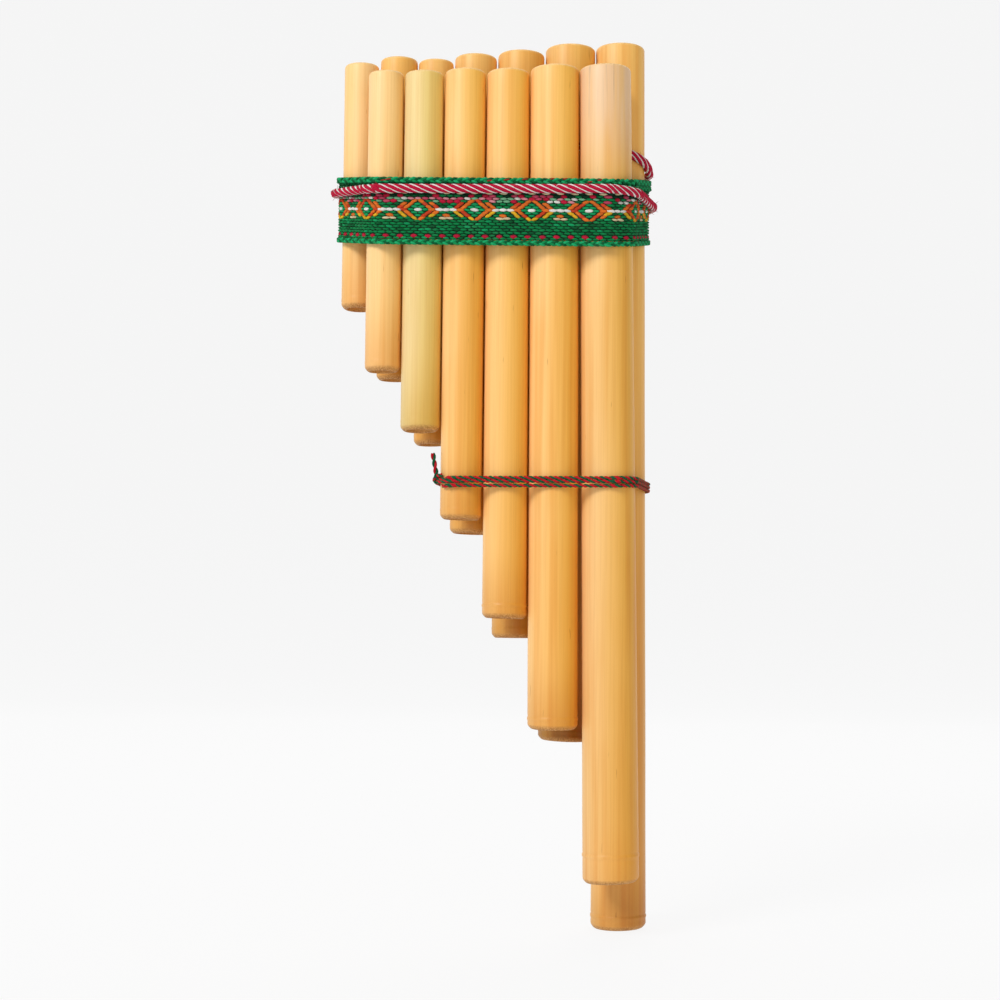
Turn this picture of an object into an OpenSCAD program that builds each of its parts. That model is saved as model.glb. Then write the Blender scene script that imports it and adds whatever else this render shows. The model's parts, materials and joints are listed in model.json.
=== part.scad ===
// Two-row Andean pan flute: thirteen stopped cane pipes, stepped from short to long.
// Splints and thread hold each row, a woven band and a twisted cord wrap both rows near
// the mouths, and a yarn binding ties the long pipes lower down.
// Millimetres. +Z points from the feet to the mouths, -Y is the player's front.

/* [Cane pipes] */
// Outside length of the longest and lowest pipe; the others follow from their pitch
longest_pipe = 293.5; // [260:0.5:360]
// Thickness of the cane wall at the mouth
cane_wall = 1.8; // [1.2:0.1:2.2]
// Gap between neighbouring pipes, which the lashing thread passes through
pipe_gap = 0.3; // [0.3:0.05:1]
// Height over which the edge of the foot is trimmed
foot_trim = 1.3; // [0.6:0.1:1.8]
// Rounding of the outer edge of the mouth
mouth_round = 0.9; // [0.4:0.1:1]
// How far the ring of the closing node stands proud of the cane
node_ring = 0.2; // [0.1:0.05:0.5]

/* [Front row, short to long] */
// Outer diameters at the mouth
front_mouth_d = [11.6, 12.8, 13.5, 14, 15.9, 16.8]; // [10:0.1:20]
// How much wider each pipe is at its foot
front_swell = [0, 0.1, 0, 0.5, 0.2, 1.2]; // [0:0.1:2]
// Pitch of each pipe in semitones above the longest pipe
front_pitch = [19, 16, 12, 9, 5, 2]; // [0:1:24]
// Extra cane left beyond the pitch length when each pipe was cut
front_extra = [0.7, 1.3, 0.1, 4, -5.4, 1]; // [-6:0.1:8]
// How far each mouth stands below the longest pipe's mouth
front_drop = [14.8, 15, 14.4, 14.5, 13.6, 13.6]; // [8:0.1:24]
// Lean of each pipe in degrees, feet towards +X
front_lean = [0, 0, 0, 0.1, 0.2, 0.7]; // [-1:0.1:1]

/* [Back row, short to long] */
// Outer diameters at the mouth
back_mouth_d = [11.6, 12.5, 11.8, 14.2, 15.7, 16.8, 16.4]; // [10:0.1:20]
// How much wider each pipe is at its foot
back_swell = [0.2, 0, 0.3, 0, 0, 0.4, 1.8]; // [0:0.1:2]
// Pitch of each pipe in semitones above the longest pipe
back_pitch = [21, 17, 14, 10, 7, 4, 0]; // [0:1:24]
// Extra cane left beyond the pitch length when each pipe was cut
back_extra = [-4.4, -1.2, -1.2, -3.8, 0.7, -0.5, 0]; // [-5:0.1:8]
// How far each mouth stands below the longest pipe's mouth
back_drop = [7.6, 5.4, 6.1, 4.1, 2.7, 0.5, 0]; // [0:0.1:12]
// Lean of each pipe in degrees, feet towards +X
back_lean = [0.1, 0, 0, 0, -0.1, -0.15, 0.15]; // [-1:0.1:1]
// How far the first back pipe stands outside the first front pipe
row_offset = 9.2; // [8:0.1:11]

/* [Splints and lashing] */
// Height of each split-cane splint
splint_h = 9; // [6:0.5:12]
// Thickness of each splint
splint_t = 1.15; // [0.8:0.05:1.8]
// Thickness of the lashing thread over the splints
thread_t = 0.35; // [0.3:0.05:0.6]
// Width of the lashing thread where it is squeezed between two pipes
thread_w = 0.2; // [0.1:0.05:0.25]

/* [Woven band] */
// Height of the band, with its edgings
band_h = 22.6; // [18:0.2:28]
// Thickness of the weave
band_t = 1.5; // [1:0.1:2.5]
// How far the middle of the band lies below the longest pipe's mouth
band_drop = 58.1; // [50:0.5:80]
// Rise of the band from front to back, as a share of the depth
band_slope = 0.23; // [0:0.005:0.25]
// Diameter of the braided edging along the top
top_edging_d = 2.4; // [1.6:0.1:3]
// Diameter of the braided edging along the bottom
bottom_edging_d = 1.8; // [1.2:0.1:2.4]

/* [Twisted cord] */
// Diameter of the red and white cord
cord_d = 3.2; // [2.4:0.1:4]
// Gap between the band's top edging and the cord's front run
cord_below = 0.3; // [0.2:0.1:2]
// How far the cord's upper turn lies above the middle of the band's top edge
cord_lift = 7.9; // [7:0.1:12]
// Rise of the cord's front run per millimetre towards the back, at the short pipes' end
cord_left_slope = 0.16; // [0:0.01:0.3]
// Rise of the cord's front run per millimetre towards the back, at the long pipes' end
cord_right_slope = 0.05; // [0:0.01:0.3]
// Diameter of the knot that ends the cord
knot_d = 8.4; // [7:0.2:11]
// Place of the knot along the back, from the axis of the longest pipe
knot_reach = 62; // [50:1:72]

/* [Yarn binding] */
// Diameter of the two-ply yarn
yarn_d = 1.3; // [1:0.1:2]
// Turns of yarn, side by side
yarn_turns = 3; // [2:1:4]
// Height of the lowest turn above the longest pipe's foot
yarn_z = 143; // [136:0.5:150]
// Length of the free tail
tail_length = 8; // [5:0.5:12]

/* [Hidden] */
$fn = 64;

// Clearance between a pipe and what is tied round it
seat = 0.15;
// Depth of the tuned bore lost to the blown mouth, in bore radii
end_correction = 1.7;
// Clearance between the thread and the splints under it
thread_rub = 0.03;
// Gap where the band's weave meets its edgings
seam = 0.02;
// Height of the closing node above the foot
node_height = 3.2;
// Half of the height of the node's ring
node_half = 1.4;
// Space that the two rows leave between them for the inner splints
row_gap = 2 * (seat + splint_t + thread_t + seat);
band_z = longest_pipe - band_drop;
cord_upper_z = band_z + band_h / 2 + cord_lift;

cane_colors = ["#e3c68c", "#dcc07e", "#d9ae6c", "#dcb878", "#d8aa66", "#d3b07a"];
back_colors = ["#e6cb92", "#dcc184", "#d8b06e", "#dcb878", "#d9ae6c", "#d8b374", "#d6ab68"];

// ---- pipes: a pipe is [x, y, mouth z, length, mouth radius, foot radius, lean, bore depth]

function pitch_length(step) = longest_pipe * pow(2, -step / 12);

// Diameter at the height of the band, where the pipes of a row are tied
function tied_d(mouth_d, swell, drop, len) = mouth_d + swell * (band_drop - drop) / len;

front_tied = [for (i = [0:5]) tied_d(front_mouth_d[i], front_swell[i], front_drop[i],
    pitch_length(front_pitch[i]) + front_extra[i])];
back_tied = [for (i = [0:6]) tied_d(back_mouth_d[i], back_swell[i], back_drop[i],
    pitch_length(back_pitch[i]) + back_extra[i])];

// Distance along X between two neighbours whose inner sides lie on one plane
function spacing(d1, d2) = sqrt(pow((d1 + d2) / 2 + pipe_gap, 2) - pow((d1 - d2) / 2, 2));
function place(tied, n) = n == 0 ? 0 : place(tied, n - 1) + spacing(tied[n - 1], tied[n]);

function make_pipe(x, y, mouth_d, swell, pitch, extra, drop, lean) = [
    x, y, longest_pipe - drop, pitch_length(pitch) + extra, mouth_d / 2,
    (mouth_d + swell) / 2, lean,
    pitch_length(pitch) - end_correction * (mouth_d / 2 - cane_wall)
];
front = [for (i = [0:5]) make_pipe(
    row_offset + place(front_tied, i), -(row_gap + front_tied[i]) / 2, front_mouth_d[i],
    front_swell[i], front_pitch[i], front_extra[i], front_drop[i], front_lean[i])];
back = [for (i = [0:6]) make_pipe(
    place(back_tied, i), (row_gap + back_tied[i]) / 2, back_mouth_d[i],
    back_swell[i], back_pitch[i], back_extra[i], back_drop[i], back_lean[i])];

// Middle height of the band at a depth
function band_mid(y) = band_z + band_slope * y;

// ---- outlines round the pipes: a disc is [x, y, radius]

function radius_at(p, z) = p[4] + (p[5] - p[4]) * (p[2] - z) / p[3];
function disc_at(p, z) = [p.x + tan(p[6]) * (band_z - z), p.y, radius_at(p, z)];
function discs_at(pipes, z) = [for (p = pipes) disc_at(p, z)];

// Edge discs that stand for the outer splints, as thick as the splint and its thread
edge_r = (splint_t + thread_t) / 2;
function outer_edges(row, side) = [for (p = row)
    [p.x, p.y + side * (radius_at(p, band_z) + 2 * seat + edge_r), edge_r]];
bound_discs = concat(discs_at(front, band_z), discs_at(back, band_z),
    outer_edges(front, -1), outer_edges(back, 1));

function reach(d, a) = d.x * cos(a) + d.y * sin(a) + d[2];

// Farthest point of a group of discs in direction a, moved out by off
function wrap_point(discs, a, off) =
    let (r = [for (d = discs) reach(d, a)], d = discs[search(max(r), r)[0]])
    [d.x + (d[2] + off) * cos(a), d.y + (d[2] + off) * sin(a)];
// Directions of one turn, closer together along the flat front and back
turn = [for (part = [[0:10:70], [76:4:104], [110:10:250], [256:4:284], [290:10:350]])
    each [for (a = part) a]];
function turns(from, to) =
    [for (k = [0:floor(to / 360)], a = turn) if (360 * k + a >= from && 360 * k + a <= to)
        360 * k + a];
function wrap(discs, off, from = 0, to = 350) =
    [for (a = turns(from, to)) wrap_point(discs, a, off)];

// ---- swept tubes

function unit(v) = v / norm(v);
function ring(p, t, r, sides, up) =
    let (u = unit(cross(t, up)), v = cross(u, t))
    [for (k = [0:sides - 1]) p + r * (cos(360 * k / sides) * u + sin(360 * k / sides) * v)];

// A round tube along a path of points, or along a part of it given as first and last point;
// closed joins its last ring to its first
module tube(path, d, sides = 8, closed = false, up = [0, 0, 1], part = undef) {
    n = len(path);
    first = is_undef(part) ? 0 : part[0];
    last = is_undef(part) ? n - 1 : part[1];
    rings = last - first + 1;
    function at(i) = closed ? path[(i + n) % n] : path[max(0, min(n - 1, i))];
    function along(i) = unit(at(i + 1) - at(i - 1));
    // A length that another follows stops a seam short of it
    points = [for (i = [first:last]) each
        ring(path[i] - (!closed && i == last && last < n - 1 ? seam : 0) * along(i),
            along(i), d / 2, sides, up)];
    function corner(i, k) = (i % rings) * sides + k % sides;
    walls = [for (i = [0:rings - (closed ? 1 : 2)], k = [0:sides - 1]) each [
        [corner(i, k), corner(i, k + 1), corner(i + 1, k + 1)],
        [corner(i, k), corner(i + 1, k + 1), corner(i + 1, k)]]];
    ends = closed ? [] : [[for (k = [sides - 1:-1:0]) k],
        [for (k = [0:sides - 1]) (rings - 1) * sides + k]];
    polyhedron(points, concat(walls, ends), convexity = 6);
}

// ---- cane pipes

// Half section of the outside of a pipe, from the axis at its foot to the axis at its mouth
module pipe_outline(p) {
    length = p[3];
    mouth_r = p[4];
    foot_r = p[5];
    polygon([
        [0, 0],
        [foot_r - foot_trim, 0],
        [foot_r - 0.35 * foot_trim, 0.45 * foot_trim],
        [foot_r, foot_trim],
        [foot_r, node_height - node_half],
        [foot_r + node_ring, node_height],
        [foot_r, node_height + node_half],
        [mouth_r, length - mouth_round],
        [mouth_r - 0.3 * mouth_round, length - 0.3 * mouth_round],
        [mouth_r - mouth_round, length],
        [0, length]
    ]);
}

// A pipe leans about the height where it is tied
module pipe(p, paint) {
    color(paint)
    translate([p.x - middle.x, p.y - middle.y, band_z])
    rotate([0, -p[6], 0])
    translate([0, 0, p[2] - band_z - p[3]])
    difference() {
        rotate_extrude() pipe_outline(p);
        translate([0, 0, p[3] - p[7]]) cylinder(h = p[7] + 1, r = p[4] - cane_wall);
    }
}

// ---- splints and lashing

// Line along a row's outer or inner faces: side is -1 for the faces towards the front
function face_line(row, side, off) = [for (p = row)
    [p.x, p.y + side * (radius_at(p, band_z) + off)]];

module splint(row, side) {
    near = face_line(row, side, seat);
    far = face_line(row, side, seat + splint_t);
    color("#cfa768")
    translate([-middle.x, -middle.y, band_mid(row[0].y) - splint_h / 2])
    linear_extrude(splint_h)
    polygon(concat(near, [for (i = [len(far) - 1:-1:0]) far[i]]));
}

// One loop of thread round both splints, passing between two pipes
module thread_loop(row, i) {
    a = row[i];
    ra = radius_at(a, band_z);
    rb = radius_at(row[i + 1], band_z);
    x = a.x + (row[i + 1].x - a.x) * (ra + pipe_gap / 2) / (ra + rb + pipe_gap);
    near = lookup(x, face_line(row, -1, seat + splint_t + thread_rub));
    far = lookup(x, face_line(row, 1, seat + splint_t + thread_rub));
    translate([x - thread_w / 2, (near + far) / 2, band_mid(row[0].y)])
    rotate([90, 0, 90])
    linear_extrude(thread_w)
    difference() {
        square([far - near + 2 * thread_t, splint_h + 2 * (thread_t + thread_rub)],
            center = true);
        square([far - near, splint_h + 2 * thread_rub], center = true);
    }
}

module lashing(row) {
    color("#d8cdb4")
    translate([-middle.x, -middle.y, 0])
    for (i = [0:len(row) - 2]) thread_loop(row, i);
}

// ---- band and edgings

module woven_band() {
    middle_h = band_h - top_edging_d - bottom_edging_d;
    middle_z = (bottom_edging_d - top_edging_d) / 2;
    reach_y = 200;
    color("#2f5a43")
    translate([-middle.x, -middle.y, 0])
    intersection() {
        translate([0, 0, band_z - band_h])
        linear_extrude(2 * band_h)
        difference() {
            polygon(wrap(bound_discs, seat + band_t));
            polygon(wrap(bound_discs, seat));
        }
        // A slab that rises towards the back gives the band its slanting edges
        translate([0, 0, band_z + middle_z])
        rotate([90, 0, 90])
        linear_extrude(2 * reach_y, center = true)
        polygon([
            [-reach_y, -band_slope * reach_y - middle_h / 2],
            [reach_y, band_slope * reach_y - middle_h / 2],
            [reach_y, band_slope * reach_y + middle_h / 2],
            [-reach_y, -band_slope * reach_y + middle_h / 2]
        ]);
    }
}

// An edging ring lies on the edge of the band at a height above its middle
module edging(d, height) {
    ring_path = [for (q = wrap(bound_discs, seat + d / 2))
        [q.x, q.y, band_mid(q.y) + height]];
    translate([-middle.x, -middle.y, 0]) tube(ring_path, d, closed = true);
}

module band_top_edging() {
    color("#2c6b46") edging(top_edging_d, (band_h - top_edging_d) / 2 + seam);
}

module band_bottom_edging() {
    color("#2f6a49") edging(bottom_edging_d, -(band_h - bottom_edging_d) / 2 - seam);
}

// ---- twisted cord

cord_r = cord_d / 2;
over_band = band_t + 2 * seat + cord_r;
over_edge = top_edging_d + 2 * seat + cord_r;
front_band_y = wrap_point(bound_discs, 270, seat + band_t).y;
cord_z = band_mid(front_band_y) + band_h / 2 - top_edging_d - cord_r - cord_below;
last = back[6];

// Height of the front run, which climbs at its two ends
function run_z(q) = cord_z + (q.y - front_band_y)
    * (cord_left_slope + (cord_right_slope - cord_left_slope) * max(0, min(1, q.x / last.x)));

// The cord starts tucked between the rows and comes out beside the longest pipe
tucked = [
    [last.x - 16, 0, cord_upper_z + 2.5],
    [last.x - 8, 0, cord_upper_z + 2],
    [last.x - 1, 0, cord_upper_z + 1]
];
round_last_r = radius_at(last, cord_upper_z) + 2 * seat + cord_r;
cord_side_z = band_mid(last.y) + band_h / 2 + cord_r + 2 * seat;
// It comes down beside the pipe to the edge of the band, then steps out over the edging
round_last = concat(
    [for (a = [-70:17.5:0]) [last.x + round_last_r * cos(a), last.y + round_last_r * sin(a),
        cord_upper_z + (cord_side_z - cord_upper_z) * (a + 70) / 70]],
    [for (a = [25, 50, 70, 90]) let (q = wrap_point(bound_discs, a, a < 40 ? over_band : over_edge))
        [q.x, q.y, cord_side_z]]);

// Y of the wrapped back at a place along it
function back_at(x, off) =
    lookup(x, [for (q = [for (a = [140:-2:40]) wrap_point(bound_discs, a, off)]) [q.x, q.y]]);

// Along the back the cord comes down from the edging to the other end of its front run
back_from = round_last[len(round_last) - 1];
back_to_x = back[0].x;
back_to = wrap_point(bound_discs, 110, over_band);
function lap_z(x) = back_from.z + (run_z(back_to) - back_from.z) * (back_from.x - x)
    / (back_from.x - back_to_x);
// It stays out over the edging until its knot would clear that
function lap_off(x) = lap_z(x) + knot_d / 2
    > band_mid(back_at(x, over_band)) + band_h / 2 - top_edging_d ? over_edge : over_band;
upper_lap = [for (s = [0.14, 0.22, 0.3, 0.45, 0.6, 0.75, 0.9, 1])
    let (x = back_from.x + (back_to_x - back_from.x) * s)
    [x, back_at(x, lap_off(x)), lap_z(x)]];
cord_span = last.x - back[0].x;
front_turn = [for (q = wrap(bound_discs, over_band, 110, 440)) [q.x, q.y, run_z(q)]];
// The front run is straight, and gets a ring in its middle, where two lengths meet
straight = [for (i = [1:len(front_turn) - 1])
    if (front_turn[i].x - front_turn[i - 1].x > cord_span / 3) i][0];
round_front = [for (i = [0:len(front_turn) - 1])
    each i == straight ? [(front_turn[i - 1] + front_turn[i]) / 2, front_turn[i]] : [front_turn[i]]];

// The second turn ends in a knot that grips the first
knot_x = last.x - knot_reach;
knot = [knot_x, back_at(knot_x, lap_off(knot_x)), lap_z(knot_x)];
slant = atan2(back_at(knot_x + 4, over_band) - back_at(knot_x - 4, over_band), 8);
cord_end = [knot.x + 0.95 * knot_d / 2, knot.y, knot.z - 0.8 * knot_d / 2 - seat];
lower_from = round_front[len(round_front) - 1];
lower_lap = [for (s = [0.2:0.2:1])
    let (x = lower_from.x + (cord_end.x - lower_from.x) * s)
    [x, back_at(x, over_band), lower_from.z + (cord_end.z - lower_from.z) * pow(s, 3)]];
cord_path = concat(tucked, round_last, upper_lap, round_front, lower_lap);

// Middle of the box that the whole flute fills
cord_x = [for (p = cord_path) p.x];
middle = [
    (min(cord_x) + max(cord_x)) / 2,
    (min([for (p = cord_path) p.y]) + max([for (p = upper_lap) p.y])) / 2
];

// The cord is made in lengths that meet end to end, each turning less than a quarter turn,
// so that the hull of none reaches into a pipe
tucked_n = len(tucked);
laps_from = tucked_n + len(round_last);
front_from = laps_from + len(upper_lap);
cord_cuts = [
    0, tucked_n, tucked_n + 4, laps_from, front_from, front_from + 8, front_from + 14,
    front_from + straight, front_from + 24, front_from + 30, front_from + 37, len(cord_path) - 1
];

module wrap_cord() {
    color("#b8283c")
    translate([-middle.x, -middle.y, 0])
    for (i = [1:len(cord_cuts) - 1])
        tube(cord_path, cord_d, part = [cord_cuts[i - 1], cord_cuts[i]]);
}

// The knot is a bead round the first turn, which lies flat on the band
module cord_knot() {
    r = knot_d / 2;
    hole_r = cord_r + seat;
    behind = 2 * knot_d;
    climb = atan2(lap_z(knot_x + 1) - lap_z(knot_x), 1);
    color("#c0364a")
    translate([knot.x - middle.x, knot.y - middle.y, knot.z])
    rotate([0, 0, slant])
    difference() {
        rotate([0, 90 - climb, 0])
        rotate_extrude()
        polygon([
            [hole_r, -0.8 * r], [0.6 * r, -0.8 * r], [0.9 * r, -0.45 * r],
            [r, 0], [0.9 * r, 0.45 * r], [0.6 * r, 0.8 * r], [hole_r, 0.8 * r]
        ]);
        translate([-behind / 2, -behind - cord_r, -behind / 2]) cube(behind);
    }
}

// ---- yarn binding

yarn_r = yarn_d / 2;
long_pipes = concat([for (i = [2:5]) front[i]], [for (i = [3:6]) back[i]]);
yarn_discs = discs_at(long_pipes, yarn_z);
yarn_start = 220;
yarn_pitch = yarn_d + 0.05;
yarn_path = [for (a = turns(yarn_start, yarn_start + 360 * yarn_turns))
    let (q = wrap_point(yarn_discs, a, 2 * seat + yarn_r))
    [q.x, q.y, yarn_z + yarn_pitch * (a - yarn_start) / 360]];

module yarn_binding() {
    color("#8f2a34") translate([-middle.x, -middle.y, 0]) tube(yarn_path, yarn_d);
}

// The yarn's ends are knotted beside the third front pipe, and one end stands up as a tail
yarn_knot_r = 0.85 * yarn_d;
yarn_knot_at = wrap_point(yarn_discs, yarn_start - 30, 2 * seat + yarn_d + yarn_knot_r);
yarn_knot_z = yarn_z + yarn_pitch * yarn_turns / 2;

module yarn_knot() {
    color("#4f4a34")
    translate([yarn_knot_at.x - middle.x, yarn_knot_at.y - middle.y, yarn_knot_z])
    sphere(r = yarn_knot_r);
}

// The tail rises from the knot and leans a little away from the pipe
tail_path = [for (s = [0:0.25:1])
    [yarn_knot_at.x - 1.2 * s * s, yarn_knot_at.y + 0.4 * s,
    yarn_knot_z + yarn_knot_r + tail_length * s]];

module yarn_tail() {
    color("#6c3a32")
    translate([-middle.x, -middle.y, 0])
    tube(tail_path, yarn_d, up = [0, 1, 0]);
}

pipe(front[0], cane_colors[0]);  // front_pipe_1
pipe(front[1], cane_colors[1]);  // front_pipe_2
pipe(front[2], cane_colors[2]);  // front_pipe_3
pipe(front[3], cane_colors[3]);  // front_pipe_4
pipe(front[4], cane_colors[4]);  // front_pipe_5
pipe(front[5], cane_colors[5]);  // front_pipe_6
pipe(back[0], back_colors[0]);  // back_pipe_1
pipe(back[1], back_colors[1]);  // back_pipe_2
pipe(back[2], back_colors[2]);  // back_pipe_3
pipe(back[3], back_colors[3]);  // back_pipe_4
pipe(back[4], back_colors[4]);  // back_pipe_5
pipe(back[5], back_colors[5]);  // back_pipe_6
pipe(back[6], back_colors[6]);  // back_pipe_7
splint(front, -1);  // front_row_front_splint
splint(front, 1);  // front_row_back_splint
splint(back, -1);  // back_row_front_splint
splint(back, 1);  // back_row_back_splint
lashing(front);  // front_row_lashing
lashing(back);  // back_row_lashing
woven_band();
band_top_edging();
band_bottom_edging();
wrap_cord();
cord_knot();
yarn_binding();
yarn_knot();
yarn_tail();
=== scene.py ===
import bpy
import bmesh
import json
import math
import random
from mathutils import Matrix, Vector, noise


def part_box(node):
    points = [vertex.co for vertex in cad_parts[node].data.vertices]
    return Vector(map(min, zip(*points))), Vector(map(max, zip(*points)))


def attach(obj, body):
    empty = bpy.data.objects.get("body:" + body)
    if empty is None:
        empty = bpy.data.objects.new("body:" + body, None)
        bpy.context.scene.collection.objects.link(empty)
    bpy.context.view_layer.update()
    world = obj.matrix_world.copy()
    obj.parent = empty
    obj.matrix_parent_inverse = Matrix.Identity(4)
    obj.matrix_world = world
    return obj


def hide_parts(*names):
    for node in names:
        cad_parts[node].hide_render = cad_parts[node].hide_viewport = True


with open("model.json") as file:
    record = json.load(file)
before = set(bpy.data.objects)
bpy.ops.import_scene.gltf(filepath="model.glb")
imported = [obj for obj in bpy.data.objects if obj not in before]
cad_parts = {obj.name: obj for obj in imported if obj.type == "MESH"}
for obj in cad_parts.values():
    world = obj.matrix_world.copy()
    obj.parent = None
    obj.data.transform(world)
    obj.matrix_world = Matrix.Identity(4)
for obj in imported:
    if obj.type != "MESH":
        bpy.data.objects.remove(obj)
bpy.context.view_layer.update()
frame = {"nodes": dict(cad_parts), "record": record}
nodes = frame["nodes"]
bores = {m["name"]: m for m in frame["record"]["mounts"] if m["kind"] == "bore"}
scene = bpy.context.scene
mm = 0.001
print("frame loaded:", len(nodes), "nodes")

# Camera, a little below the middle of the flute and looking slightly up
view = {
    "place": (2.9 * mm, -588.1 * mm, 99.9 * mm),
    "pitch": 3.846,
    "roll": 0.55,
    "lens": 64.8,
}
lensData = bpy.data.cameras.new("Camera")
lensData.lens = view["lens"]
lensData.sensor_width = 36
lensData.clip_start = 0.01
camera = bpy.data.objects.new("Camera", lensData)
scene.collection.objects.link(camera)
camera.matrix_world = (
    Matrix.Translation(view["place"])
    @ Matrix.Rotation(math.radians(90 + view["pitch"]), 4, "X")
    @ Matrix.Rotation(math.radians(view["roll"]), 4, "Z")
)
scene.camera = camera


# A dye or wood tone from its everyday 0-255 values to the shader's linear ones
def tone(red, green, blue):
    parts = [c / 255 for c in (red, green, blue)]
    return tuple(c / 12.92 if c < 0.04045 else ((c + 0.055) / 1.055) ** 2.4 for c in parts) + (1,)


class Wire:
    def __init__(self, finish, socket):
        self.finish = finish
        self.socket = socket

    def sum(self, operation, first, second):
        return self.finish.node("ShaderNodeMath", {"operation": operation}, {0: first, 1: second})

    def __add__(self, other):
        return self.sum("ADD", self, other)

    def __radd__(self, other):
        return self.sum("ADD", other, self)

    def __sub__(self, other):
        return self.sum("SUBTRACT", self, other)

    def __rsub__(self, other):
        return self.sum("SUBTRACT", other, self)

    def __mul__(self, other):
        return self.sum("MULTIPLY", self, other)

    def __rmul__(self, other):
        return self.sum("MULTIPLY", other, self)

    def over(self, low, high):  # 0 below low, 1 above high, smooth between
        return self.finish.node(
            "ShaderNodeMapRange",
            {"interpolation_type": "SMOOTHSTEP"},
            {"Value": self, "From Min": low, "From Max": high},
        )


class Finish:
    def __init__(self, name, **fixed):
        self.material = bpy.data.materials.new(name)
        self.material.use_nodes = True
        self.tree = self.material.node_tree
        self.shader = self.tree.nodes["Principled BSDF"]
        for key, value in fixed.items():
            self.shader.inputs[key.replace("_", " ")].default_value = value

    def node(self, kind, settings={}, values={}, output=0):
        made = self.tree.nodes.new(kind)
        for key, value in settings.items():
            setattr(made, key, value)
        for key, value in values.items():
            self.plug(made.inputs[key], value)
        return Wire(self, made.outputs[output])

    def plug(self, socket, value):
        if isinstance(value, Wire):
            self.tree.links.new(value.socket, socket)
        else:
            socket.default_value = value

    def feed(self, name, value):
        self.plug(self.shader.inputs[name], value)

    def blend(self, share, first, second, mode="MIX"):
        return self.node(
            "ShaderNodeMix",
            {"data_type": "RGBA", "blend_type": mode},
            {0: share, 6: first, 7: second},
            2,
        )

    # Object coordinates measured from a point and stretched
    def place(self, centre=(0, 0, 0), scale=(1, 1, 1)):
        point = self.node("ShaderNodeTexCoord", output=3)
        moved = self.node(
            "ShaderNodeMapping", {"vector_type": "POINT"},
            {"Vector": point, "Location": [-c for c in centre]},
        )
        return self.node("ShaderNodeMapping", {}, {"Vector": moved, "Scale": scale})

    def grain(self, vector, size, detail=2.0, rough=0.5, seed=0.0):
        return self.node(
            "ShaderNodeTexNoise", {"noise_dimensions": "4D"},
            {"Vector": vector, "Scale": size, "Detail": detail, "Roughness": rough, "W": seed},
        )

    def bump(self, height, distance, strength=1.0):
        self.feed("Normal", self.node(
            "ShaderNodeBump", {}, {"Height": height, "Distance": distance, "Strength": strength}
        ))


# Adds a finished mesh as a piece that rides with the flute
def addPiece(name, mesh, materials, replaced=()):
    piece = bpy.data.objects.new(name, mesh)
    scene.collection.objects.link(piece)
    mesh.materials.clear()
    for material in materials:
        mesh.materials.append(material)
    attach(piece, "root")
    if replaced:
        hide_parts(*replaced)
    return piece


def smoothMesh(name, bm):
    for face in bm.faces:
        face.smooth = True
    mesh = bpy.data.meshes.new(name)
    bm.to_mesh(mesh)
    bm.free()
    return mesh


# Cane pipes

cane = {
    "wall": 1.8 * mm,
    "mouthRound": 0.9 * mm,
    "footTrim": 1.3 * mm,
    "nodeRing": 0.2 * mm,
    "nodeStep": 0.825 * mm,  # along the pipe, to each step of the node ring's shape
    "recess": 1.6 * mm,  # depth of the hollow under the closing node
    "segments": 56,
    "rings": 44,
    "wobble": 0.09 * mm,
    "skewOver": 6 * mm,  # length of foot that a skew cut bends
    "pale": tone(248, 203, 134),
    "green": tone(234, 207, 138),
    "honey": tone(248, 196, 114),
    "amber": tone(245, 190, 104),
    "stained": tone(240, 190, 112),
    # Each cane is painted paler on its left side and more orange on its right, as painted light and
    # painted shade, and painted darker towards its foot as painted shade
    "paintedLitSide": (1.0, 1.05, 1.34, 1),
    "paintedShadedSide": (0.95, 0.86, 0.42, 1),
    "paintedLowShade": (0.94, 0.8, 0.55, 1),
    "footFade": 26 * mm,
    "paintedLongPipeShade": (0.78, 0.62, 0.42, 1),  # painted shade: the longest pipe is darker all the way down
}
# tint, how orange its streaks are, node height above the foot, node strength, cut tilt, seed,
# how strongly its painted light and painted shade sides differ, and what its foot is multiplied by to
# darken it (a painted shadow on back_pipe_6)
pipeLooks = {
    "front_pipe_1": ("pale", 0.5, 3.2, 0.3, 0.012, 1, 0.35, (0.9, 0.8, 0.7)),
    "front_pipe_2": ("green", 0.3, 3.4, 0.2, -0.015, 2, 0.75, (0.9, 0.85, 0.7)),
    "front_pipe_3": ("honey", 0.5, 3.2, 0.3, 0.010, 3, 1.0, (0.85, 0.75, 0.6)),
    "front_pipe_4": ("honey", 0.45, 4.4, 1.1, 0.020, 4, 1.0, (0.85, 0.75, 0.6)),
    "front_pipe_5": ("honey", 0.6, 3.6, 1.0, -0.018, 5, 1.0, (0.85, 0.75, 0.6)),
    "front_pipe_6": ("stained", 0.6, 9.0, 1.2, 0.015, 6, 1.0, (1.0, 0.95, 0.9)),
    "back_pipe_1": ("pale", 0.3, 3.2, 0.3, -0.010, 7, 0.0, (0.9, 0.8, 0.7)),
    "back_pipe_2": ("amber", 0.5, 3.2, 0.3, 0.012, 8, 0.5, (0.8, 0.7, 0.5)),
    "back_pipe_3": ("honey", 0.4, 3.2, 0.3, -0.012, 9, 0.3, (0.8, 0.7, 0.5)),
    "back_pipe_4": ("honey", 0.5, 3.2, 0.3, 0.015, 10, 0.4, (0.8, 0.7, 0.5)),
    "back_pipe_5": ("amber", 0.6, 3.2, 0.4, 0.010, 11, 0.6, (0.7, 0.6, 0.4)),
    "back_pipe_6": ("amber", 0.6, 3.6, 0.5, -0.020, 12, 0.8, (0.4, 0.32, 0.15)),
    "back_pipe_7": ("honey", 0.6, 4.2, 1.1, 0.012, 13, 0.5, (0.78, 0.68, 0.5)),
}


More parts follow.
